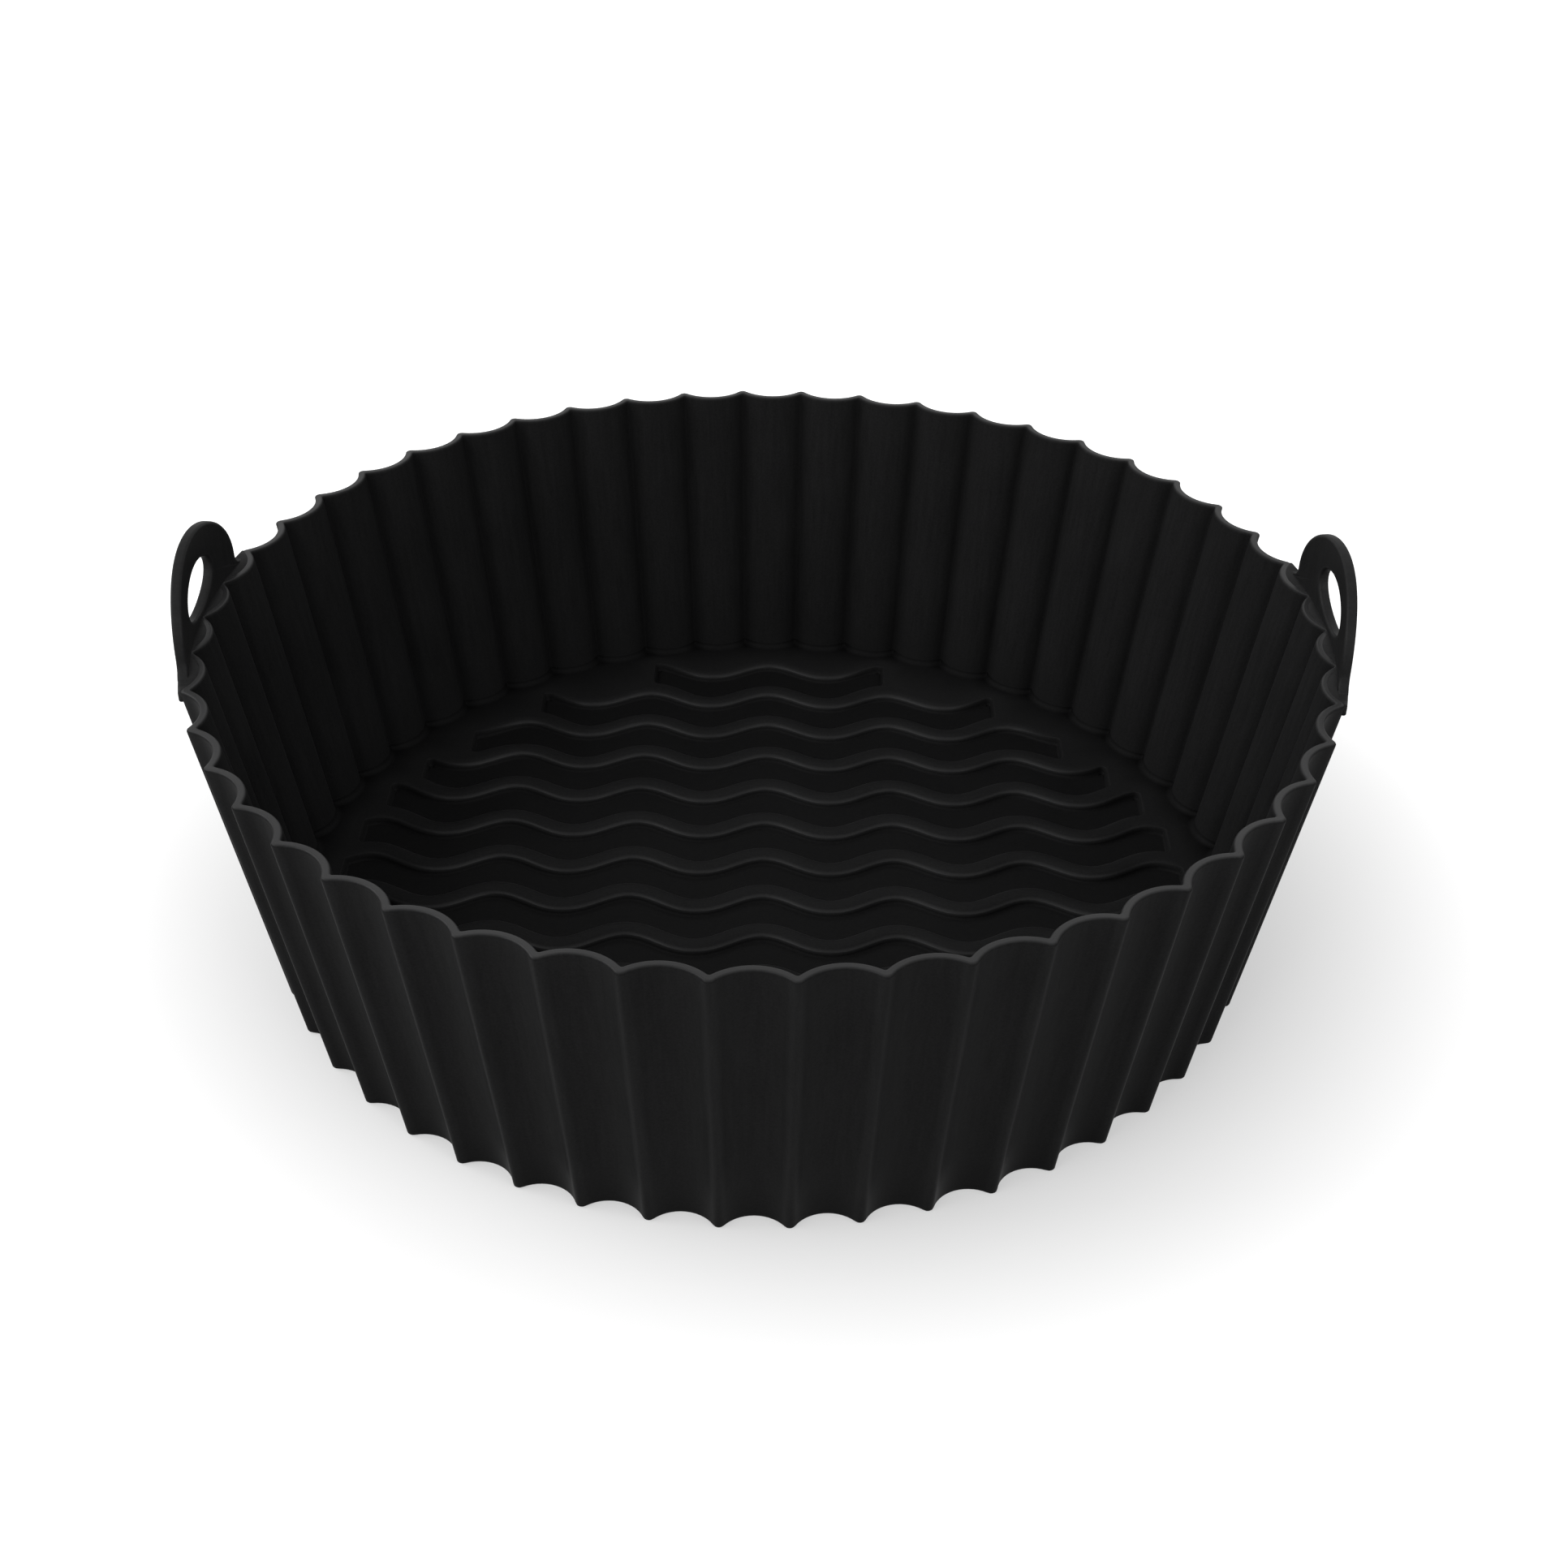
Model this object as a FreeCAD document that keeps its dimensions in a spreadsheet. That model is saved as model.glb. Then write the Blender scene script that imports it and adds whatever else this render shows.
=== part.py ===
# Round silicone air fryer liner with a fluted wall, a ribbed floor and two arched handles.
# Millimetres, +Z up. The origin is the middle of the underside, and the handles stand at +X and -X.
import FreeCAD, Part
import math
import os

# Driving sizes: alias, value, what it is
SIZES = [
    ("flute_count", 50, "flutes round the wall"),
    ("rim_radius", 100.0, "ridges at the rim"),
    ("base_radius", 89.4, "ridges at the underside"),
    ("wall_height", 58.0, "underside to rim"),
    ("rim_flute_depth", 2.8, "ridge to channel bottom at the rim"),
    ("base_flute_depth", 2.9, "ridge to channel bottom at the underside"),
    ("ridge_width", 1.3, "narrow strip along the top of each ridge"),
    ("wall_thickness", 1.5, "wall between a channel and the bulge behind it"),
    ("floor_height", 3.0, "underside to the top of the floor"),
    ("ribbed_radius", 80.0, "round that the outer sides of the troughs end on"),
    ("trough_count", 13, "troughs between the ribs"),
    ("shortest_edge", 0.2, "nothing shorter is drawn at a trough's end"),
    ("rib_pitch", 12.0, "rib to rib"),
    ("rib_width", 3.8, "rib from side to side"),
    ("rib_height", 1.6, "rib above the troughs beside it"),
    ("wave_length", 25.0, "length of a rib's wave"),
    ("wave_swing", 2.4, "wave to either side of the rib's middle line"),
    ("wave_bend", 7.5, "radius of a rib's bend at each crest"),
    ("wave_turn", 12.5, "half the angle that the bend turns through, degrees"),
    ("handle_flutes", 4, "flutes that a handle spans"),
    ("handle_thickness", 1.8, "handle plate"),
    ("handle_proud", 0.3, "handle plate outside the ridges"),
    ("handle_half_width", 19.5, "middle to edge of the arch above its feet"),
    ("handle_height", 15.4, "rim to top of the arch"),
    ("handle_foot_round", 2.5, "hollow rounding where the arch meets the rim"),
    ("shelf_thickness", 2.2, "shelf that closes the channels under a handle"),
    ("slot_half_width", 10.4, "finger slot, half its width"),
    ("slot_half_height", 5.0, "finger slot, half its height"),
    ("slot_lift", 0.8, "rim to the bottom of the finger slot"),
]

doc = FreeCAD.newDocument("AirFryerLiner")
sheet = doc.addObject("Spreadsheet::Sheet", "Sizes")
for row, (alias, value, meaning) in enumerate(SIZES, start=1):
    sheet.set(f"A{row}", str(value))
    sheet.setAlias(f"A{row}", alias)
    sheet.set(f"B{row}", meaning)
doc.recompute()


def size(alias):
    """Read one driving size from the sheet."""
    return float(sheet.get(alias))


def polar(radius, angle):
    """Point in a sketch from its distance and angle."""
    return FreeCAD.Vector(radius * math.cos(angle), radius * math.sin(angle), 0)


body = doc.addObject("PartDesign::Body", "Liner")
body.Label = "liner"


def new_sketch(name, role, lift=None):
    """Attach a sketch to one of the body's origin planes, lifted by an expression."""
    sketch = body.newObject("Sketcher::SketchObject", name)
    plane = [feature for feature in body.Origin.OriginFeatures if feature.Role == role][0]
    sketch.AttachmentSupport = [(plane, "")]
    sketch.MapMode = "FlatFace"
    if lift:
        sketch.setExpression("AttachmentOffset.Base.z", lift)
    return sketch


def pad(name, sketch, length):
    """Pad a sketch upwards by an expression."""
    feature = body.newObject("PartDesign::Pad", name)
    feature.Profile = sketch
    feature.setExpression("Length", length)
    feature.Refine = False
    return feature


# Fluted outlines
flute_angle = 2 * math.pi / size("flute_count")
half_flute = flute_angle / 2


def flute_at(height):
    """Ridge radius, half angle of its strip, and the channel circle's distance and radius."""
    share = height / size("wall_height")
    ridge = size("base_radius") + share * (size("rim_radius") - size("base_radius"))
    depth = size("base_flute_depth") + share * (size("rim_flute_depth") - size("base_flute_depth"))
    strip = size("ridge_width") / 2 / ridge
    half_chord = ridge * math.sin(half_flute - strip)
    sag = ridge * math.cos(half_flute - strip) - ridge + depth
    radius = (half_chord ** 2 + sag ** 2) / (2 * sag)
    return ridge, strip, ridge - depth + radius, radius


def draw_outer(sketch, height):
    """Outer outline: a flat strip on each ridge and an arc along each channel."""
    ridge, strip, distance, radius = flute_at(height)
    for index in range(int(size("flute_count"))):
        middle = index * flute_angle
        strip_end = polar(ridge, middle + strip)
        channel_end = polar(ridge, middle + flute_angle - strip)
        channel_bottom = polar(distance - radius, middle + half_flute)
        sketch.addGeometry([
            Part.LineSegment(polar(ridge, middle - strip), strip_end),
            Part.Arc(strip_end, channel_bottom, channel_end),
        ], False)


def bulge_arcs(height, inset, first=0, count=int(size("flute_count"))):
    """Arcs round the channels' centres, moved inwards, that meet in sharp grooves."""
    distance, channel_radius = flute_at(height)[2:]
    radius = channel_radius + inset
    across = distance * math.sin(half_flute)
    groove = distance * math.cos(half_flute) - math.sqrt(radius ** 2 - across ** 2)
    arcs = []
    for index in range(first, first + count):
        middle = index * flute_angle
        arcs.append(Part.Arc(
            polar(groove, middle),
            polar(distance - radius, middle + half_flute),
            polar(groove, middle + flute_angle),
        ))
    return arcs


# Floor, out to the middle of the wall
floor_plan = new_sketch("FloorPlan", "XY_Plane")
floor_plan.addGeometry(bulge_arcs(size("floor_height") / 2, size("wall_thickness") / 2), False)
floor = pad("Floor", floor_plan, "Sizes.floor_height")
doc.recompute()

# Wavy troughs with straight ends, which leave the ribs standing
half_wave = size("wave_length") / 2
trough_half_width = (size("rib_pitch") - size("rib_width")) / 2
turn = math.radians(size("wave_turn"))
bend_lift = size("wave_swing") - size("wave_bend")


def side_point(x, side):
    """Point at x on a trough's side: on the nearest bend or on the flank beside it, and which of the two."""
    index = round(x / half_wave)
    crest = 1 if index % 2 == 0 else -1
    radius = size("wave_bend") + crest * side * trough_half_width
    next_radius = 2 * size("wave_bend") - radius
    off = abs(x - index * half_wave)
    bend_end = radius * math.sin(turn)
    if off <= bend_end:
        return FreeCAD.Vector(x, crest * (bend_lift + math.sqrt(radius ** 2 - off ** 2)), 0), True
    share = (off - bend_end) / (half_wave - bend_end - next_radius * math.sin(turn))
    start = bend_lift + radius * math.cos(turn)
    end = -bend_lift - next_radius * math.cos(turn)
    return FreeCAD.Vector(x, crest * (start + share * (end - start)), 0), False


def trough_side(side, reach, middle):
    """Bends joined by straight flanks along one side of a trough, from -reach to reach."""
    stops = [-reach, reach]
    waves = math.ceil(reach / half_wave)
    for index in range(-waves, waves + 1):
        crest = 1 if index % 2 == 0 else -1
        bend_end = (size("wave_bend") + crest * side * trough_half_width) * math.sin(turn)
        stops += [stop for stop in (index * half_wave - bend_end, index * half_wave + bend_end)
                  if abs(stop) < reach - size("shortest_edge")]
    stops.sort()
    shift = FreeCAD.Vector(0, middle, 0)
    edges = []
    for left, right in zip(stops, stops[1:]):
        halfway, on_bend = side_point((left + right) / 2, side)
        ends = [side_point(left, side)[0] + shift, side_point(right, side)[0] + shift]
        if on_bend:
            edges.append(Part.Arc(ends[0], halfway + shift, ends[1]))
        else:
            edges.append(Part.LineSegment(*ends))
    return edges


trough_plan = new_sketch("TroughPlan", "XY_Plane", "Sizes.floor_height")
trough_count = int(size("trough_count"))
for index in range(trough_count):
    middle = (index - (trough_count - 1) / 2) * size("rib_pitch")
    reach = math.sqrt(size("ribbed_radius") ** 2 - (abs(middle) + trough_half_width) ** 2)
    near_side = trough_side(-1, reach, middle)
    far_side = trough_side(1, reach, middle)
    ends = [
        Part.LineSegment(near_side[0].StartPoint, far_side[0].StartPoint),
        Part.LineSegment(near_side[-1].EndPoint, far_side[-1].EndPoint),
    ]
    trough_plan.addGeometry(near_side + far_side + ends, False)
troughs = body.newObject("PartDesign::Pocket", "Troughs")
troughs.Profile = trough_plan
troughs.setExpression("Length", "Sizes.rib_height")
troughs.Refine = False
body.Tip = troughs
doc.recompute()

# Fluted wall, open at both ends
wall_base = new_sketch("WallBase", "XY_Plane")
draw_outer(wall_base, 0)
wall_base.addGeometry(bulge_arcs(0, size("wall_thickness")), False)
wall_rim = new_sketch("WallRim", "XY_Plane", "Sizes.wall_height")
draw_outer(wall_rim, size("wall_height"))
wall_rim.addGeometry(bulge_arcs(size("wall_height"), size("wall_thickness")), False)
wall = body.newObject("PartDesign::AdditiveLoft", "Wall")
wall.Profile = wall_base
wall.Sections = [wall_rim]
wall.Ruled = True
wall.Refine = False
doc.recompute()

# Shelf and plate of each handle
handle_outer = size("rim_radius") + size("handle_proud")
handle_inner = handle_outer - size("handle_thickness")
handle_flutes = int(size("handle_flutes"))
handle_half_angle = handle_flutes * half_flute
shelf_plan = new_sketch("ShelfPlan", "XY_Plane", "Sizes.wall_height - Sizes.shelf_thickness")
plate_plan = new_sketch("PlatePlan", "XY_Plane", "Sizes.wall_height")
for middle_flute in (0, int(size("flute_count")) // 2):
    middle = middle_flute * flute_angle
    first = middle - handle_half_angle
    last = middle + handle_half_angle
    scallops = bulge_arcs(
        size("wall_height"), size("wall_thickness") / 2, middle_flute - handle_flutes // 2, handle_flutes)
    outer_arc = Part.Arc(polar(handle_outer, first), polar(handle_outer, middle), polar(handle_outer, last))
    inner_arc = Part.Arc(polar(handle_inner, first), polar(handle_inner, middle), polar(handle_inner, last))
    shelf_plan.addGeometry(scallops + [
        outer_arc,
        Part.LineSegment(polar(handle_outer, first), scallops[0].StartPoint),
        Part.LineSegment(polar(handle_outer, last), scallops[-1].EndPoint),
    ], False)
    plate_plan.addGeometry([
        outer_arc,
        inner_arc,
        Part.LineSegment(polar(handle_outer, first), polar(handle_inner, first)),
        Part.LineSegment(polar(handle_outer, last), polar(handle_inner, last)),
    ], False)
shelves = pad("Shelves", shelf_plan, "Sizes.shelf_thickness")
plates = pad("Plates", plate_plan, "Sizes.handle_height")
doc.recompute()

# Arch outline and finger slot, cut through both plates along X
rim = size("wall_height")
foot = size("handle_foot_round")
half_width = size("handle_half_width")
spring = rim + foot
top = rim + size("handle_height")
corner = foot * math.sqrt(0.5)


def point(across, height):
    """Point in the sketch that looks along X."""
    return FreeCAD.Vector(across, height, 0)


cut_plan = new_sketch("CutPlan", "YZ_Plane")
arch = Part.Ellipse(point(0, spring), half_width, top - spring)
cut_plan.addGeometry(Part.ArcOfEllipse(arch, 0, math.pi), False)
for side in (-1, 1):
    foot_end = side * (half_width + foot)
    cut_plan.addGeometry([
        Part.Arc(
            point(side * half_width, spring),
            point(foot_end - side * corner, spring - corner),
            point(foot_end, rim)),
        Part.LineSegment(point(foot_end, rim), point(side * handle_outer, rim)),
        Part.LineSegment(point(side * handle_outer, rim), point(side * handle_outer, top + foot)),
    ], False)
cut_plan.addGeometry(
    Part.LineSegment(point(-handle_outer, top + foot), point(handle_outer, top + foot)), False)
slot_middle = point(0, rim + size("slot_lift") + size("slot_half_height"))
cut_plan.addGeometry(Part.Ellipse(slot_middle, size("slot_half_width"), size("slot_half_height")), False)
plates_volume = plates.Shape.Volume
handle_cut = body.newObject("PartDesign::Pocket", "HandleCut")
handle_cut.Profile = cut_plan
handle_cut.Type = "ThroughAll"
handle_cut.Midplane = True
body.Tip = handle_cut
doc.recompute()

# Checks before anything is written
for item in doc.Objects:
    if "Invalid" in item.State or "Error" in item.State:
        raise RuntimeError(f"{item.Label} failed: {item.State}")
if body.Shape.isNull() or not body.Shape.isValid() or len(body.Shape.Solids) != 1:
    raise RuntimeError("the liner isn't one valid solid")
if handle_cut.Shape.Volume >= plates_volume:
    raise RuntimeError("the handles' outline and slots weren't cut")

body.Placement = FreeCAD.Placement(FreeCAD.Vector(0, 0, 0), FreeCAD.Rotation())
os.makedirs("parts", exist_ok=True)
body.Shape.exportStep(f"parts/{body.Label}.step")
print(f"{body.Label}: {len(body.Shape.Faces)} faces, {body.Shape.Volume:.0f} cubic millimetres")
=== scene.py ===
import math

import bmesh
import bpy
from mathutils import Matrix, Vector


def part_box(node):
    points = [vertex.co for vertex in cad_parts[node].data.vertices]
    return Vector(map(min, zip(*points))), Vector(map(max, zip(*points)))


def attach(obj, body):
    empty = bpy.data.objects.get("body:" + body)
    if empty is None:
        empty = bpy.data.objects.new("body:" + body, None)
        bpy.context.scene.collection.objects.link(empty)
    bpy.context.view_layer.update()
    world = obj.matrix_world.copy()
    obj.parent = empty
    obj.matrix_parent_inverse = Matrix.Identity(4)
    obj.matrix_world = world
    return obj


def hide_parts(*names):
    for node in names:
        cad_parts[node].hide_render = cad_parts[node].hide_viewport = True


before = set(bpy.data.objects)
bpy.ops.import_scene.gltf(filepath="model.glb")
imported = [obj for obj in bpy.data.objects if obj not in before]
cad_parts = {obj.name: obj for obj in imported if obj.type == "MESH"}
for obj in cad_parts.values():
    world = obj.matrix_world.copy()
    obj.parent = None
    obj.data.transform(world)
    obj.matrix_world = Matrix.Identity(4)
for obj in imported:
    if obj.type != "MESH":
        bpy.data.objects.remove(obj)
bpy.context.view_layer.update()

# A hair keeps two faces out of one plane, and points nearer to each other than a seam are joined
MM = 0.001
HAIR = 0.01 * MM
SEAM = 0.002 * MM
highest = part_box("liner")[1]

# Wall
FLUTES = 50
HANDLE_PROUD = 0.3 * MM
HANDLE_HEIGHT = 15.4 * MM
RIM_RADIUS = highest.x - HANDLE_PROUD
BASE_RADIUS = 89.4 * MM
WALL_HEIGHT = highest.z - HANDLE_HEIGHT
RIM_FLUTE_DEPTH = 2.8 * MM
BASE_FLUTE_DEPTH = 2.9 * MM
RIDGE_ROUND = 1.0 * MM
GROOVE_ROUND = 0.4 * MM
LEAST_ROUND = 0.15 * MM
WALL_THICKNESS = 1.5 * MM
RIM_EDGE_ROUND = 0.45 * MM
BASE_EDGE_ROUND = 0.5 * MM
INSIDE_CORNER_ROUND = 1.0 * MM
STEPS_PER_FLUTE = 20
RIDGE_CROWDING = 0.75
# Painted highlight: a paler strip along each outer ridge
RIDGE_PAINTED_HIGHLIGHT = 0.2
RIDGE_STRIP = 1.4 * MM
STRIP_FADE = 0.4 * MM
# Painted shade: the colour darkens within this reach of each inner groove
GROOVE_REACH = 2.4 * MM
GROOVE_PAINTED_SHADE = 0.32
# Painted shade in the inside corner above the floor and at the foot of the outside
CORNER_PAINTED_SHADE = 0.4
BASE_PAINTED_SHADE = 0.2
WALL_LEVELS = 8
UNDERSIDE_MARGIN = 4.0 * MM
UNDERSIDE_RING = 60.0 * MM

# Floor
FLOOR_HEIGHT = 3.0 * MM
RIBBED_RADIUS = 80.0 * MM
TROUGH_COUNT = 13
TROUGH_CORNER_ROUND = 0.9 * MM
TROUGH_DRAFT = 0.25 * MM
RIB_PITCH = 12.0 * MM
RIB_HALF_WIDTH = 1.9 * MM
RIB_HEIGHT = 1.6 * MM
RIB_CROWN = 0.6 * MM
RIB_EDGE_ROUND = 0.6 * MM
RIB_FOOT_ROUND = 0.5 * MM
WAVE_LENGTH = 25.0 * MM
WAVE_SWING = 2.4 * MM
WAVE_STEP = 1.4 * MM
CROWN_SHARES = (1.0, 0.85, 0.7, 0.55, 0.4)
CROWN_GAP = 0.15 * MM
EDGE_SHARE = 0.6
# Painted highlight on the rib's crown and rounded edge, and painted shade down into the troughs
CROWN_PAINTED_HIGHLIGHT = 0.15
RIB_PAINTED_HIGHLIGHT = 0.5
RIB_FADE = 9.0 * MM
TROUGH_PAINTED_SHADE = 0.4

# Handles
HANDLE_THICKNESS = 1.8 * MM
HANDLE_HALF_WIDTH = 19.5 * MM
HANDLE_FOOT_ROUND = 2.5 * MM
HANDLE_EDGE_ROUND = 0.45 * MM
HANDLE_FLUTES = 4
HANDLE_ROOT = 1.2 * MM
# Painted highlight on the handles' rounded edges
HANDLE_PAINTED_HIGHLIGHT = 0.34
HANDLE_EDGE_ANGLES = (0, 22, 45, 68, 90)
HANDLE_FLAT_SHARES = (0.06, 0.35, 0.65, 0.94)
FOOT_STEPS = 8
ARCH_STEPS = 32
ROOT_STEPS = 24
SLOT_HALF_WIDTH = 8.9 * MM
SLOT_HALF_HEIGHT = 4.4 * MM
SLOT_LIFT = 1.2 * MM
SHELF_THICKNESS = 2.2 * MM
SHELF_RADIUS = RIM_RADIUS + HANDLE_PROUD
SHELF_SINK = 1.0 * MM
# Painted highlight on the shelves' tops and outer rounding
SHELF_PAINTED_HIGHLIGHT = 0.3

# Silicone: linear colours, and how fine its noises are
SILICONE_BLACK = (0.0122, 0.0122, 0.0124)
# The paler colour that painted highlights mix towards
PAINTED_HIGHLIGHT_COLOUR = (0.029, 0.029, 0.0295)
CLOUD_SCALE = 45.0
GRAIN_SCALE = 2600.0
STREAK_SCALE = 95.0
STREAK_HEIGHT = 0.9
STREAK_START = 4.0 * MM
STREAK_FULL = 12.0 * MM
RELIEF_DEPTH = 0.03 * MM

# Studio, in metres. A level of 1 is white. Each glow is the floor's reach and its level beside the part,
# and the lower level beside the part is a painted shadow round it.
FLOOR_LEVEL = 0.47
FLOOR_REACH = 6.0
FLOOR_DROP = 0.05 * MM
GLOW_START = 0.09
GLOW_SEEN = (0.16, 0.44)
GLOW_MIRRORED = (1.6, 0.53)
GLOW_FAR = 0.95
ROOM_LEVEL = 0.38
SOFT_BOX_WIDTH = 1.0
SOFT_BOX_AIM = Vector((0.0, 0.0, 0.03))
SOFT_BOXES = (
    ("Left light", Vector((-1.1, 0.1, 0.85)), 9.5),
    ("Left front light", Vector((-0.85, -0.85, 0.85)), 7.5),
    ("Right front light", Vector((0.85, -0.85, 0.85)), 6.0))

# Camera: place, turn in degrees, and a lens on a full frame
CAMERA_PLACE = (4.607 * MM, -339.091 * MM, 251.354 * MM)
CAMERA_TURN = (56.1753, -0.5004, 0.4879)
CAMERA_LENS = 50.99
CAMERA_SENSOR = 36.0


# Rounded paths
def rounded_path(corners, steps=5, hold=0.12 * MM):
    """Points along a path of (x, y, radius) corners: each arc has a point held close at either side."""
    path = []
    for place, (x, y, radius) in enumerate(corners):
        corner = Vector((x, y))
        if radius == 0:
            path.append(corner)
            continue
        before = (Vector(corners[place - 1][:2]) - corner).normalized()
        after = (Vector(corners[(place + 1) % len(corners)][:2]) - corner).normalized()
        half = before.angle(after) / 2
        reach = radius / math.tan(half)
        centre = corner + (before + after).normalized() * radius / math.sin(half)
        start = corner + before * reach - centre
        end = corner + after * reach - centre
        sweep = math.pi - 2 * half
        path.append(corner + before * (reach + hold))
        for step in range(steps + 1):
            angle = sweep * step / steps
            arm = start * math.sin(sweep - angle) + end * math.sin(angle)
            path.append(centre + arm / math.sin(sweep))
        path.append(corner + after * (reach + hold))
    return path


def outward(loop, place):
    """The outward direction of an anticlockwise loop at one of its points."""
    along = loop[(place + 1) % len(loop)] - loop[place - 1]
    return Vector((along.y, -along.x)).normalized()


# Geometry trees
class Field:
    """A node's output that plain formulas can use."""

    def __init__(self, tree, socket):
        self.tree = tree
        self.socket = socket

    def math(self, operation, *others):
        node = self.tree.nodes.new("ShaderNodeMath")
        node.operation = operation
        for place, value in enumerate((self, *others)):
            if isinstance(value, Field):
                self.tree.links.new(value.socket, node.inputs[place])
            else:
                node.inputs[place].default_value = value
        return Field(self.tree, node.outputs[0])

    def __add__(self, other):
        return self.math("ADD", other)

    def __sub__(self, other):
        return self.math("SUBTRACT", other)

    def __mul__(self, other):
        return self.math("MULTIPLY", other)

    def __truediv__(self, other):
        return self.math("DIVIDE", other)

    def over(self, top):
        """A number divided by this field."""
        return (self / top).math("POWER", -1.0)

    def sine(self):
        return self.math("SINE")

    def cosine(self):
        return self.math("COSINE")

    def root(self):
        return self.math("MAXIMUM", 0.0).math("SQRT")


def between(low, high, share):
    """low where share is 0, high where it is 1."""
    return (high - low) * share + low


class Tree:
    """A geometry tree with named inputs. Its geometry input is the mesh of a profile's points."""

    def __init__(self, name, inputs):
        self.tree = bpy.data.node_groups.new(name, "GeometryNodeTree")
        face = self.tree.interface
        face.new_socket("Geometry", in_out="OUTPUT", socket_type="NodeSocketGeometry")
        face.new_socket("Geometry", in_out="INPUT", socket_type="NodeSocketGeometry")
        self.keys = {
            label: face.new_socket(label, in_out="INPUT", socket_type="NodeSocketFloat").identifier
            for label in inputs}
        self.material_key = face.new_socket(
            "Material", in_out="INPUT", socket_type="NodeSocketMaterial").identifier
        self.start = self.tree.nodes.new("NodeGroupInput")
        self.geometry = self.start.outputs["Geometry"]
        self.size = {label: Field(self.tree, self.start.outputs[label]) for label in inputs}

    def node(self, kind, links=None, **settings):
        """Add a node, set its properties, and set or link its inputs by name."""
        node = self.tree.nodes.new(kind)
        for key, value in settings.items():
            setattr(node, key, value)
        for name, value in (links or {}).items():
            if isinstance(value, Field):
                value = value.socket
            if isinstance(value, bpy.types.NodeSocket):
                self.tree.links.new(value, node.inputs[name])
            else:
                node.inputs[name].default_value = value
        return node

    def field(self, node, output=0):
        return Field(self.tree, node.outputs[output])

    def index(self):
        return self.field(self.node("GeometryNodeInputIndex"))

    def station_value(self, name, row):
        """A value of the profile's station in this row."""
        named = self.node("GeometryNodeInputNamedAttribute", {"Name": name}, data_type="FLOAT")
        return self.field(self.node("GeometryNodeSampleIndex", {
            "Geometry": self.geometry, "Value": named.outputs[0], "Index": row}, data_type="FLOAT"))

    def place(self, geometry, x, y, z):
        """Move each point to x, y, z."""
        position = self.node("ShaderNodeCombineXYZ", {"X": x, "Y": y, "Z": z})
        return self.node("GeometryNodeSetPosition", {
            "Geometry": geometry, "Position": position.outputs[0]}).outputs[0]

    def finish(self, geometry):
        """Close the seams and set the material."""
        merged = self.node("GeometryNodeMergeByDistance", {"Geometry": geometry, "Distance": SEAM})
        realized = self.node("GeometryNodeRealizeInstances", {"Geometry": merged.outputs[0]})
        painted = self.node("GeometryNodeSetMaterial", {
            "Geometry": realized.outputs[0], "Material": self.start.outputs["Material"]})
        end = self.tree.nodes.new("NodeGroupOutput")
        self.tree.links.new(painted.outputs[0], end.inputs["Geometry"])
        return self

    def grow(self, name, mesh, sizes):
        """Run the tree on a mesh and return the result as a plain object."""
        piece = bpy.data.objects.new(name, mesh)
        bpy.context.scene.collection.objects.link(piece)
        modifier = piece.modifiers.new(name, "NODES")
        modifier.node_group = self.tree
        for label, value in sizes.items():
            modifier[self.keys[label]] = float(value)
        modifier[self.material_key] = silicone
        shown = piece.evaluated_get(bpy.context.evaluated_depsgraph_get())
        plain = bpy.data.meshes.new_from_object(shown)
        piece.modifiers.clear()
        piece.data = plain
        plain.name = name
        return piece


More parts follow.
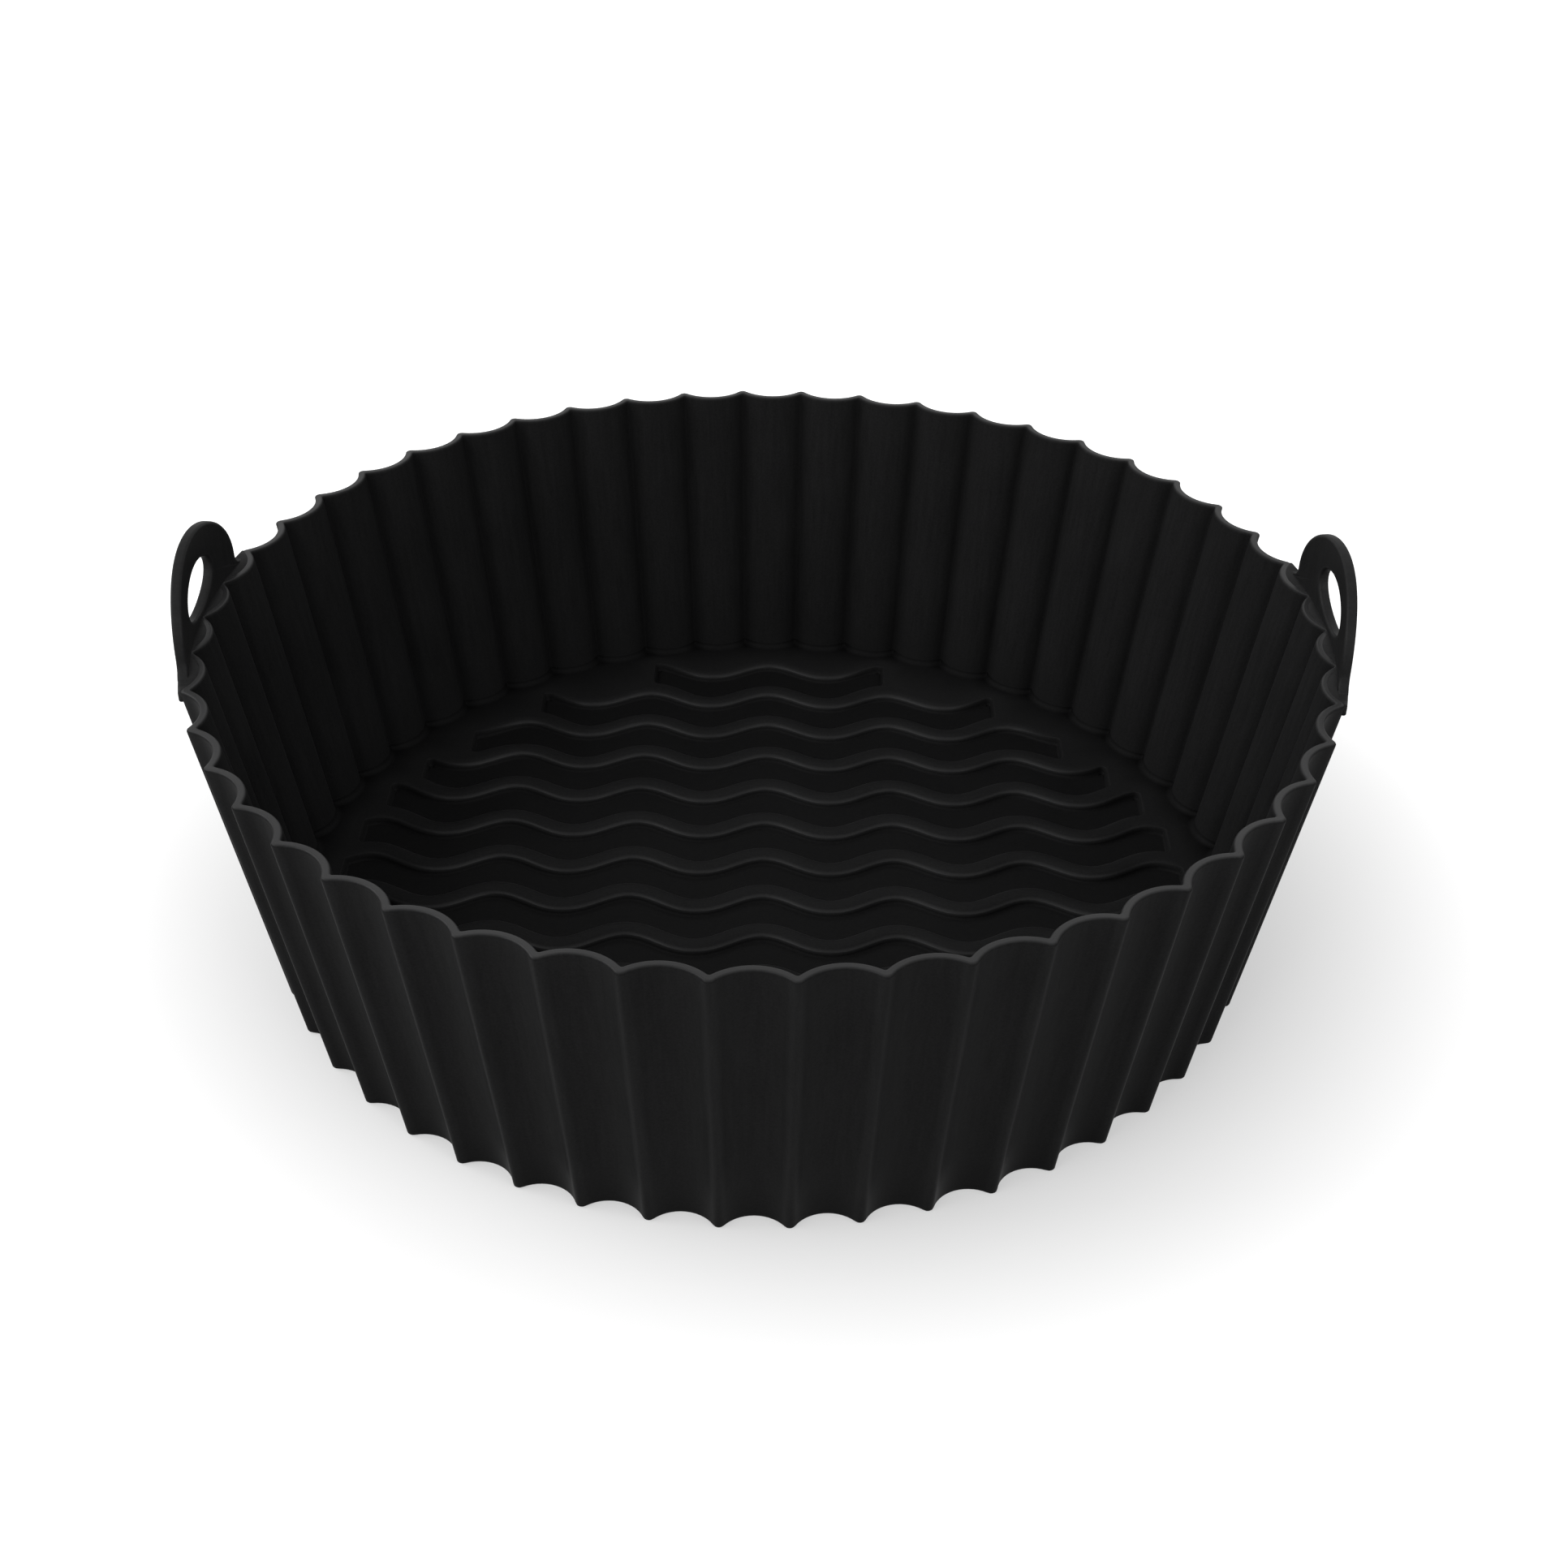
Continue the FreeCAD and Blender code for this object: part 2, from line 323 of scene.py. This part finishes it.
def fluted_tree():
    """Carry a profile round the axis, along an outline of round channels and rounded ridges.

    A profile point is an inset from the outer outline, the radius of a plain circle and a height.
    Its fade goes from 0 on the outline to 1 on the circle. Each channel is an arc about a point
    outside the wall, and each ridge is an arc that touches the arcs at its two sides.
    """
    kit = Tree("Fluted wall", list(wall_sizes(0, FLUTES)))
    size = kit.size
    around = size["Flutes made"] * size["Steps per flute"] + 1.0
    row = ((kit.index() + 0.5) / around).math("FLOOR")
    step = kit.index() - row * around

    position = kit.node("GeometryNodeInputPosition").outputs[0]
    profile = kit.node("GeometryNodeSampleIndex", {
        "Geometry": kit.geometry, "Value": position, "Index": row}, data_type="FLOAT_VECTOR")
    split = kit.node("ShaderNodeSeparateXYZ", {0: profile.outputs[0]})
    inset = kit.field(split, "X")
    circle = kit.field(split, "Y")
    height = kit.field(split, "Z")
    fade = kit.station_value("fade", row)
    edge = kit.station_value("edge", row)

    # The angle from the channel's middle, with the steps crowded towards the ridges
    half_flute = size["Flutes"].over(math.pi)
    turns = step / size["Steps per flute"]
    side = turns.math("FRACT") * 2.0 - 1.0
    crowded = (side * (math.pi / 2)).sine()
    off_channel = between(side, crowded, size["Ridge crowding"]) * half_flute
    channel = (turns.math("FLOOR") + size["First flute"]) * 2.0 + 1.0
    angle = channel * half_flute + off_channel

    # The outer outline at this height
    share = height / size["Wall height"]
    ridge = between(size["Base radius"], size["Rim radius"], share)
    depth = between(size["Base flute depth"], size["Rim flute depth"], share)
    tip = ridge - size["Ridge round"]
    bottom = ridge - depth
    flat_tip = tip * half_flute.cosine()
    gap = tip * tip + bottom * bottom - bottom * flat_tip * 2.0
    channel_round = (gap - size["Ridge round"] * size["Ridge round"]) / (
        (flat_tip + size["Ridge round"] - bottom) * 2.0)
    channel_centre = bottom + channel_round

    # The same outline, moved in by the inset
    channel_round = channel_round + inset
    depth_share = inset / size["Wall thickness"]
    ridge_round = between(size["Ridge round"], size["Groove round"], depth_share)
    ridge_round = ridge_round.math("MAXIMUM", LEAST_ROUND)
    along = channel_centre * half_flute.cosine()
    across = channel_centre * half_flute.sine()
    reach = channel_round + ridge_round
    ridge_centre = along - (reach * reach - across * across).root()
    touch = channel_round / reach
    touch_angle = (across - across * touch).math("ARCTAN2", between(along, ridge_centre, touch))

    off_ridge = half_flute - off_channel.math("ABSOLUTE")
    ridge_side = ridge_centre * off_ridge.sine()
    on_ridge = ridge_centre * off_ridge.cosine() + (
        ridge_round * ridge_round - ridge_side * ridge_side).root()
    channel_side = channel_centre * off_channel.sine()
    on_channel = channel_centre * off_channel.cosine() - (
        channel_round * channel_round - channel_side * channel_side).root()
    is_ridge = off_ridge.math("LESS_THAN", touch_angle)
    outline = between(on_channel, on_ridge, is_ridge)
    radius = between(outline, circle, fade)

    count = kit.node("GeometryNodeAttributeDomainSize", {"Geometry": kit.geometry})
    grid = kit.node("GeometryNodeMeshGrid", {"Vertices X": kit.field(count), "Vertices Y": around})
    skin = kit.place(grid.outputs[0], radius * angle.cosine(), radius * angle.sine(), height)

    # A strip along each ridge is painted lighter outside, a painted highlight, and its groove is darker
    # inside, a painted shade
    aside = off_ridge * ridge
    strip = (aside - size["Ridge strip"]) / -STRIP_FADE
    strip = strip.math("MAXIMUM", 0.0).math("MINIMUM", 1.0) * size["Ridge painted highlight"]
    # Painted shade in the colour near each inner groove
    groove = (aside / size["Groove reach"]).math("MINIMUM", 1.0) - 1.0
    outside = inset.math("LESS_THAN", HAIR)
    inside = inset.math("GREATER_THAN", size["Wall thickness"] * 0.9)
    painted_light_and_shade = edge + strip * outside + groove * inside * size["Groove painted shade"]
    painted_light_and_shade = painted_light_and_shade.math("MINIMUM", 1.0)
    marked = kit.node("GeometryNodeStoreNamedAttribute", {
        "Geometry": skin, "Name": "edge", "Value": painted_light_and_shade}, data_type="FLOAT", domain="POINT")
    return kit.finish(marked.outputs[0])


# Finishing of meshes
def finish_piece(piece, mesh):
    """Turn a closed mesh's faces outwards, smooth them and give them to the piece, all in silicone."""
    bmesh.ops.recalc_face_normals(mesh, faces=mesh.faces)
    for face in mesh.faces:
        face.smooth = True
        face.material_index = 0
    mesh.to_mesh(piece.data)
    mesh.free()
    piece.data.materials.clear()
    piece.data.materials.append(silicone)


def on_liner(piece):
    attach(piece, "root")
    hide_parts("liner")


def wall_sizes(first, made):
    return {
        "Flutes": FLUTES, "First flute": first, "Flutes made": made, "Steps per flute": STEPS_PER_FLUTE,
        "Ridge crowding": RIDGE_CROWDING, "Rim radius": RIM_RADIUS, "Base radius": BASE_RADIUS,
        "Wall height": WALL_HEIGHT, "Rim flute depth": RIM_FLUTE_DEPTH,
        "Base flute depth": BASE_FLUTE_DEPTH, "Ridge round": RIDGE_ROUND, "Groove round": GROOVE_ROUND,
        "Wall thickness": WALL_THICKNESS, "Ridge painted highlight": RIDGE_PAINTED_HIGHLIGHT, "Ridge strip": RIDGE_STRIP,
        "Groove reach": GROOVE_REACH, "Groove painted shade": GROOVE_PAINTED_SHADE}


def profile_mesh(name, stations):
    """A mesh of profile points, each (inset, circle radius, height, fade, edge), where edge is painted
    light: a painted highlight above 0 and painted shade below 0.
    """
    mesh = bpy.data.meshes.new(name)
    mesh.from_pydata([station[:3] for station in stations], [], [])
    for column, label in ((3, "fade"), (4, "edge")):
        attribute = mesh.attributes.new(label, "FLOAT", "POINT")
        for place, station in enumerate(stations):
            attribute.data[place].value = station[column]
    return mesh


# Silicone
def silicone_material():
    """Matt black silicone: fine grain, faint streaks down the walls, edges made paler by a painted
    highlight, and painted shade in grooves, corners and troughs.
    """
    material = bpy.data.materials.new("Black silicone")
    material.use_nodes = True
    tree = material.node_tree
    shader = tree.nodes["Principled BSDF"]
    shader.inputs["Specular IOR Level"].default_value = 0.02
    shader.inputs["Coat Roughness"].default_value = 0.3

    def add(kind, links, **settings):
        node = tree.nodes.new(kind)
        for key, value in settings.items():
            setattr(node, key, value)
        for name, value in links.items():
            if isinstance(value, bpy.types.NodeSocket):
                tree.links.new(value, node.inputs[name])
            else:
                node.inputs[name].default_value = value
        return node.outputs[0]

    def noise(vector, scale, detail, roughness=0.5):
        return add("ShaderNodeTexNoise", {
            "Vector": vector, "Scale": scale, "Detail": detail, "Roughness": roughness})

    def ramp(value, low, high, from_low=0.3, from_high=0.7):
        return add("ShaderNodeMapRange", {
            "Value": value, "From Min": from_low, "From Max": from_high, "To Min": low, "To Max": high})

    coordinates = tree.nodes.new("ShaderNodeTexCoord").outputs["Object"]
    clouds = noise(coordinates, CLOUD_SCALE, 3.0)
    grain = noise(coordinates, GRAIN_SCALE, 2.0)
    axes = tree.nodes.new("ShaderNodeSeparateXYZ")
    tree.links.new(coordinates, axes.inputs[0])
    turn = add("ShaderNodeMath", {0: axes.outputs["Y"], 1: axes.outputs["X"]}, operation="ARCTAN2")
    height = add("ShaderNodeMath", {0: axes.outputs["Z"], 1: STREAK_HEIGHT}, operation="MULTIPLY")
    unrolled = add("ShaderNodeCombineXYZ", {"X": turn, "Y": height})
    streaks = noise(unrolled, STREAK_SCALE, 3.0, 0.6)
    on_wall = ramp(axes.outputs["Z"], 0.0, 1.0, STREAK_START, STREAK_FULL)

    # The edge attribute is painted light: a painted highlight above 0, a painted shade below 0
    painted_light_and_shade = tree.nodes.new("ShaderNodeAttribute")
    painted_light_and_shade.attribute_name = "edge"
    paler = ramp(painted_light_and_shade.outputs["Fac"], 0.0, 1.0, 0.0, 1.0)
    painted_highlight = add("ShaderNodeMath", {0: paler, 1: ramp(clouds, 0.8, 1.0)}, operation="MULTIPLY")
    # Painted shade darkens the colour below 0; a painted highlight lifts it a little up to 0.25
    tone = ramp(painted_light_and_shade.outputs["Fac"], 0.0, 1.25, -1.0, 0.25)
    patches = ramp(clouds, 0.92, 1.08)
    shade = add("ShaderNodeMath", {0: patches, 1: ramp(grain, 0.88, 1.12)}, operation="MULTIPLY")
    streak = add("ShaderNodeMath", {0: ramp(streaks, -0.12, 0.12), 1: on_wall}, operation="MULTIPLY")
    shade = add("ShaderNodeMath", {0: shade, 1: streak}, operation="ADD")
    shade = add("ShaderNodeMath", {0: shade, 1: tone}, operation="MULTIPLY")
    plain = add("ShaderNodeVectorMath", {0: SILICONE_BLACK, "Scale": shade}, operation="SCALE")
    # The painted highlight mixes the colour towards the paler one, and also gives a glossy coat there
    mixed = tree.nodes.new("ShaderNodeMix")
    mixed.data_type = "RGBA"
    tree.links.new(add("ShaderNodeMath", {0: painted_highlight, 1: 2.0}, operation="POWER"), mixed.inputs["Factor"])
    tree.links.new(plain, mixed.inputs["A"])
    mixed.inputs["B"].default_value = (*PAINTED_HIGHLIGHT_COLOUR, 1.0)
    tree.links.new(mixed.outputs["Result"], shader.inputs["Base Color"])
    tree.links.new(ramp(clouds, 0.46, 0.54), shader.inputs["Roughness"])
    tree.links.new(ramp(painted_highlight, 0.0, 0.4, 0.2, 1.0), shader.inputs["Coat Weight"])
    relief = add("ShaderNodeMath", {0: grain, 1: streak}, operation="ADD")
    bump = tree.nodes.new("ShaderNodeBump")
    bump.inputs["Strength"].default_value = 0.35
    bump.inputs["Distance"].default_value = RELIEF_DEPTH
    tree.links.new(relief, bump.inputs["Height"])
    tree.links.new(bump.outputs["Normal"], shader.inputs["Normal"])
    return material


silicone = silicone_material()

# Wall: from the middle of the underside up the outside, over the rim and down to the floor
TROUGH_HEIGHT = FLOOR_HEIGHT - RIB_HEIGHT
wall_path = rounded_path([
    (UNDERSIDE_MARGIN, 0.0, 0.0),
    (0.0, 0.0, BASE_EDGE_ROUND),
    (0.0, WALL_HEIGHT, RIM_EDGE_ROUND),
    (WALL_THICKNESS, WALL_HEIGHT, RIM_EDGE_ROUND),
    (WALL_THICKNESS, FLOOR_HEIGHT, INSIDE_CORNER_ROUND),
    (WALL_THICKNESS + 2 * INSIDE_CORNER_ROUND, FLOOR_HEIGHT, 0.0)])
stations = [(0.0, 0.0, 0.0, 1.0, 0.0), (0.0, UNDERSIDE_RING, 0.0, 1.0, 0.0)]
for place, point in enumerate(wall_path[:-1]):
    previous = wall_path[place - 1]
    if place and abs(point.y - previous.y) > WALL_HEIGHT / 2:
        for level in range(1, WALL_LEVELS):
            between_levels = previous.lerp(point, level / WALL_LEVELS)
            stations.append((between_levels.x, 0.0, between_levels.y, 0.0, 0.0))
    # The rim's rounding gets a painted highlight; the inside corner and the foot of the outside get
    # painted shade
    on_rim = max(0.0, 1 - (WALL_HEIGHT - point.y) / RIM_EDGE_ROUND) ** 3
    in_corner = point.x > WALL_THICKNESS / 2 and point.y < FLOOR_HEIGHT + INSIDE_CORNER_ROUND
    at_base = point.x < WALL_THICKNESS / 2 and point.y < 2 * BASE_EDGE_ROUND
    shade = CORNER_PAINTED_SHADE * in_corner + BASE_PAINTED_SHADE * at_base
    stations.append((point.x, 0.0, point.y, 0.0, on_rim - shade))
fluted = fluted_tree()
bowl = fluted.grow("Bowl", profile_mesh("Bowl profile", stations), wall_sizes(0, FLUTES))


# Floor: wavy troughs with straight ends, which leave the ribs standing
def wave(x):
    return WAVE_SWING * math.cos(math.tau * x / WAVE_LENGTH)


def trough_outline(middle):
    """Plan of a trough at its sharp upper edge, anticlockwise, with rounded corners."""
    half_width = RIB_PITCH / 2 - RIB_HALF_WIDTH
    reach = math.sqrt(RIBBED_RADIUS ** 2 - (abs(middle) + half_width) ** 2)
    straight = reach - 2.2 * TROUGH_CORNER_ROUND
    steps = round(2 * straight / WAVE_STEP)
    columns = [-reach] + [straight * (2 * step / steps - 1) for step in range(steps + 1)] + [reach]
    corners = []
    for side, row in ((-1, columns), (1, columns[::-1])):
        for x in row:
            slope = math.tau * WAVE_SWING / WAVE_LENGTH * math.sin(math.tau * x / WAVE_LENGTH)
            rib = RIB_HALF_WIDTH * math.sqrt(1 + slope ** 2)
            y = middle + wave(x) + side * (RIB_PITCH / 2 - rib)
            corners.append((x, y, TROUGH_CORNER_ROUND if abs(x) == reach else 0.0))
    return rounded_path(corners, steps=4, hold=0.1 * MM)


def trough_section():
    """Section of a trough's side, from the rib's crown down to its foot: (outwards, height, edge), where
    edge is a painted highlight on the crown and rounded edge, and painted shade towards the foot.
    """
    section = []
    crown_reach = RIB_HALF_WIDTH - CROWN_GAP
    for share in CROWN_SHARES:
        drop = RIB_CROWN * (1 - share) ** 2
        section.append((crown_reach * share, FLOOR_HEIGHT - drop, CROWN_PAINTED_HIGHLIGHT * (1 - share)))
    side = rounded_path([
        (section[-1][0], section[-1][1], 0.0),
        (0.0, FLOOR_HEIGHT - RIB_CROWN, RIB_EDGE_ROUND),
        (-TROUGH_DRAFT, TROUGH_HEIGHT, RIB_FOOT_ROUND),
        (-3 * TROUGH_DRAFT - RIB_FOOT_ROUND, TROUGH_HEIGHT, 0.0)], steps=4, hold=0.08 * MM)
    for point in side[1:-1]:
        share = (point.y - TROUGH_HEIGHT) / (RIB_HEIGHT - RIB_CROWN)
        on_edge = RIB_PAINTED_HIGHLIGHT if share > EDGE_SHARE else -TROUGH_PAINTED_SHADE * (1 - max(0.0, share) / EDGE_SHARE)
        section.append((point.x, point.y, on_edge))
    return section


def add_floor(piece):
    """Close the wall's open inner edge with the ribbed floor."""
    mesh = bmesh.new()
    mesh.from_mesh(piece.data)
    edge = mesh.verts.layers.float["edge"]
    top_edges = [side for side in mesh.edges if side.is_boundary]
    section = trough_section()
    for place in range(TROUGH_COUNT):
        outline = trough_outline((place - (TROUGH_COUNT - 1) / 2) * RIB_PITCH)
        reach = max(point.x for point in outline)
        rings = []
        for out, height, painted_light_and_shade in section:
            ring = []
            for corner, point in enumerate(outline):
                flat = point + outward(outline, corner) * out
                along = min(1.0, (reach - abs(point.x)) / RIB_FADE)
                square = TROUGH_HEIGHT + (height - TROUGH_HEIGHT) * RIB_HEIGHT / (RIB_HEIGHT - RIB_CROWN)
                z = min(FLOOR_HEIGHT, square) * (1 - along) + height * along
                vertex = mesh.verts.new((flat.x, flat.y, z))
                # The painted highlight fades out towards the trough's ends; the painted shade stays
                vertex[edge] = painted_light_and_shade * along if painted_light_and_shade > 0 else painted_light_and_shade
                ring.append(vertex)
            rings.append(ring)
        count = len(outline)
        for upper, lower in zip(rings, rings[1:]):
            for corner in range(count):
                after = (corner + 1) % count
                mesh.faces.new((upper[corner], upper[after], lower[after], lower[corner]))
        crest = rings[0]
        top_edges += [mesh.edges.get((crest[corner - 1], crest[corner])) for corner in range(count)]
        mesh.faces.new(rings[-1])
    bmesh.ops.triangle_fill(mesh, use_beauty=True, edges=top_edges, normal=(0.0, 0.0, 1.0))
    finish_piece(piece, mesh)


add_floor(bowl)
on_liner(bowl)

# Shelves: the slabs under the handles, from inside the wall out to the handle's face
SHELF_TOP = WALL_HEIGHT - HAIR
SHELF_BOTTOM = WALL_HEIGHT - SHELF_THICKNESS
outer_path = rounded_path([
    (RIM_RADIUS - SHELF_SINK, SHELF_BOTTOM, 0.0),
    (SHELF_RADIUS, SHELF_BOTTOM, HANDLE_EDGE_ROUND),
    (SHELF_RADIUS, SHELF_TOP, HANDLE_EDGE_ROUND),
    (RIM_RADIUS - SHELF_SINK, SHELF_TOP, 0.0)])
# The shelf's top and outer rounding get a painted highlight
shelf_stations = [
    (WALL_THICKNESS / 2, 0.0, SHELF_TOP, 0.0, SHELF_PAINTED_HIGHLIGHT),
    (WALL_THICKNESS / 2, 0.0, SHELF_BOTTOM, 0.0, 0.0)]
shelf_stations += [(0.0, point.x, point.y, 1.0, SHELF_PAINTED_HIGHLIGHT) for point in outer_path]
shelf_stations.append(shelf_stations[0])


def add_ends(piece):
    """Close the two ends of a shelf."""
    mesh = bmesh.new()
    mesh.from_mesh(piece.data)
    bmesh.ops.holes_fill(mesh, edges=[side for side in mesh.edges if side.is_boundary], sides=0)
    finish_piece(piece, mesh)


for side, first in (("right", -HANDLE_FLUTES // 2), ("left", FLUTES // 2 - HANDLE_FLUTES // 2)):
    shelf = fluted.grow(
        f"Shelf_{side}", profile_mesh(f"Shelf profile {side}", shelf_stations),
        wall_sizes(first, HANDLE_FLUTES))
    add_ends(shelf)
    on_liner(shelf)


# Handles
def handle_outline():
    """Outline of the upright plate from the front, from the right foot over the arch to the left one."""
    spring = WALL_HEIGHT + HANDLE_FOOT_ROUND
    top = highest.z
    half = []
    for step in range(FOOT_STEPS + 1):
        angle = math.pi / 2 * (1 - step / FOOT_STEPS)
        half.append(Vector((
            HANDLE_HALF_WIDTH + HANDLE_FOOT_ROUND * (1 - math.cos(angle)),
            spring - HANDLE_FOOT_ROUND * math.sin(angle))))
    for step in range(1, ARCH_STEPS + 1):
        angle = math.pi / 2 * step / ARCH_STEPS
        half.append(Vector((
            HANDLE_HALF_WIDTH * math.cos(angle), spring + (top - spring) * math.sin(angle))))
    outline = [Vector((half[0].x, WALL_HEIGHT - HANDLE_ROOT))] + half
    outline += [Vector((-point.x, point.y)) for point in reversed(outline[:-1])]
    half_width = outline[0].x
    for step in range(1, ROOT_STEPS):
        outline.append(Vector((
            -half_width + 2 * half_width * step / ROOT_STEPS, WALL_HEIGHT - HANDLE_ROOT)))
    return outline


def handle_plate(name, turn):
    """An upright plate with a finger slot, bent round the liner's axis, its edges rounded."""
    outline = handle_outline()
    slot_middle = Vector((0.0, WALL_HEIGHT + SLOT_HALF_HEIGHT + SLOT_LIFT))
    lengths = [(point - outline[place - 1]).length for place, point in enumerate(outline)]
    travelled = outline[0].x - lengths[0]
    slot = []
    for length in lengths:
        travelled += length
        angle = math.tau * travelled / sum(lengths) - math.pi / 2
        slot.append(slot_middle + Vector((
            SLOT_HALF_WIDTH * math.cos(angle), SLOT_HALF_HEIGHT * math.sin(angle))))

    face = SHELF_RADIUS
    back = SHELF_RADIUS - HANDLE_THICKNESS
    arc = []
    for degrees in HANDLE_EDGE_ANGLES:
        angle = math.radians(degrees)
        arc.append((HANDLE_EDGE_ROUND * (1 - math.cos(angle)), HANDLE_EDGE_ROUND * (1 - math.sin(angle))))
    mesh = bmesh.new()
    edge = mesh.verts.layers.float.new("edge")
    loops = []
    for place, (outer, inner) in enumerate(zip(outline, slot)):
        out = outward(outline, place)
        into_slot = -outward(slot, place)
        section = []
        # The rounded edges get a painted highlight; the flats get none
        for sunk, pulled in arc:
            section.append((outer - out * pulled, face - sunk, HANDLE_PAINTED_HIGHLIGHT))
        for sunk, pulled in reversed(arc):
            section.append((outer - out * pulled, back + sunk, HANDLE_PAINTED_HIGHLIGHT))
        outer_flat = outer - out * HANDLE_EDGE_ROUND
        inner_flat = inner - into_slot * HANDLE_EDGE_ROUND
        for share in HANDLE_FLAT_SHARES:
            section.append((outer_flat.lerp(inner_flat, share), back, 0.0))
        for sunk, pulled in arc:
            section.append((inner - into_slot * pulled, back + sunk, HANDLE_PAINTED_HIGHLIGHT))
        for sunk, pulled in reversed(arc):
            section.append((inner - into_slot * pulled, face - sunk, HANDLE_PAINTED_HIGHLIGHT))
        for share in reversed(HANDLE_FLAT_SHARES):
            section.append((outer_flat.lerp(inner_flat, share), face, 0.0))
        loop = []
        for point, radius, painted_light_and_shade in section:
            angle = turn + point.x / SHELF_RADIUS
            vertex = mesh.verts.new((radius * math.cos(angle), radius * math.sin(angle), point.y))
            vertex[edge] = painted_light_and_shade
            loop.append(vertex)
        loops.append(loop)
    count = len(loops[0])
    for place, loop in enumerate(loops):
        following = loops[(place + 1) % len(loops)]
        for step in range(count):
            after = (step + 1) % count
            mesh.faces.new((loop[step], loop[after], following[after], following[step]))
    piece = bpy.data.objects.new(name, bpy.data.meshes.new(name))
    bpy.context.scene.collection.objects.link(piece)
    finish_piece(piece, mesh)
    return piece


for name, turn in (("Handle_right", 0.0), ("Handle_left", math.pi)):
    on_liner(handle_plate(name, turn))


# Floor and background
def largest(tree, sockets):
    """The largest of several node outputs."""
    result = sockets[0]
    for socket in sockets[1:]:
        node = tree.nodes.new("ShaderNodeMath")
        node.operation = "MAXIMUM"
        tree.links.new(result, node.inputs[0])
        tree.links.new(socket, node.inputs[1])
        result = node.outputs[0]
    return result


def pale_floor():
    """A floor that is pale in itself, and white to the camera away from the liner; its glow is lower near
    the liner, a painted shadow round it.
    """
    material = bpy.data.materials.new("Pale floor")
    material.use_nodes = True
    tree = material.node_tree
    shader = tree.nodes["Principled BSDF"]
    shader.inputs["Base Color"].default_value = (FLOOR_LEVEL, FLOOR_LEVEL, FLOOR_LEVEL, 1.0)
    shader.inputs["Roughness"].default_value = 0.9
    shader.inputs["Specular IOR Level"].default_value = 0.0
    path = tree.nodes.new("ShaderNodeLightPath")
    coordinates = tree.nodes.new("ShaderNodeTexCoord")
    distance = tree.nodes.new("ShaderNodeVectorMath")
    distance.operation = "LENGTH"
    tree.links.new(coordinates.outputs["Object"], distance.inputs[0])

    def glow(ray, reach, level):
        """The floor's own brightness for one kind of ray, from beside the liner out to the reach; lower
        beside the liner, as a painted shadow.
        """
        rise = tree.nodes.new("ShaderNodeMapRange")
        rise.inputs["From Min"].default_value = GLOW_START
        rise.inputs["From Max"].default_value = reach
        rise.inputs["To Min"].default_value = level
        rise.inputs["To Max"].default_value = GLOW_FAR
        tree.links.new(distance.outputs["Value"], rise.inputs["Value"])
        share = tree.nodes.new("ShaderNodeMath")
        share.operation = "MULTIPLY"
        tree.links.new(path.outputs[ray], share.inputs[0])
        tree.links.new(rise.outputs[0], share.inputs[1])
        return share.outputs[0]

    shown = largest(tree, [
        glow("Is Glossy Ray", *GLOW_MIRRORED),
        glow("Is Camera Ray", *GLOW_SEEN),
        glow("Is Transmission Ray", *GLOW_SEEN)])
    shader.inputs["Emission Color"].default_value = (1.0, 1.0, 1.0, 1.0)
    tree.links.new(shown, shader.inputs["Emission Strength"])
    mesh = bpy.data.meshes.new("Floor")
    far = FLOOR_REACH
    corners = [(x, y, -FLOOR_DROP) for x, y in ((-far, -far), (far, -far), (far, far), (-far, far))]
    mesh.from_pydata(corners, [], [(0, 1, 2, 3)])
    mesh.materials.append(material)
    floor = bpy.data.objects.new("Floor", mesh)
    bpy.context.scene.collection.objects.link(floor)


def white_world():
    """A soft room light that the camera, reflections and glass see as white."""
    world = bpy.data.worlds.new("White studio")
    bpy.context.scene.world = world
    world.use_nodes = True
    tree = world.node_tree
    tree.nodes.clear()
    room = tree.nodes.new("ShaderNodeBackground")
    room.inputs["Color"].default_value = (1.0, 1.0, 1.0, 1.0)
    path = tree.nodes.new("ShaderNodeLightPath")
    rays = ("Is Camera Ray", "Is Glossy Ray", "Is Transmission Ray")
    strength = tree.nodes.new("ShaderNodeMapRange")
    strength.inputs["To Min"].default_value = ROOM_LEVEL
    strength.inputs["To Max"].default_value = 1.0
    tree.links.new(largest(tree, [path.outputs[ray] for ray in rays]), strength.inputs["Value"])
    tree.links.new(strength.outputs[0], room.inputs["Strength"])
    end = tree.nodes.new("ShaderNodeOutputWorld")
    tree.links.new(room.outputs[0], end.inputs["Surface"])


def soft_box(name, place, watts):
    """A square soft box that faces the liner."""
    lamp = bpy.data.lights.new(name, "AREA")
    lamp.shape = "SQUARE"
    lamp.size = SOFT_BOX_WIDTH
    lamp.energy = watts
    light = bpy.data.objects.new(name, lamp)
    light.location = place
    light.rotation_euler = (SOFT_BOX_AIM - place).to_track_quat("-Z", "Y").to_euler()
    bpy.context.scene.collection.objects.link(light)


pale_floor()
white_world()
for label, place, watts in SOFT_BOXES:
    soft_box(label, place, watts)

# Camera
lens = bpy.data.cameras.new("Camera")
lens.lens = CAMERA_LENS
lens.sensor_width = CAMERA_SENSOR
camera = bpy.data.objects.new("Camera", lens)
camera.location = CAMERA_PLACE
camera.rotation_euler = [math.radians(turn) for turn in CAMERA_TURN]
bpy.context.scene.collection.objects.link(camera)
bpy.context.scene.camera = camera
bpy.context.scene.view_settings.view_transform = "Standard"
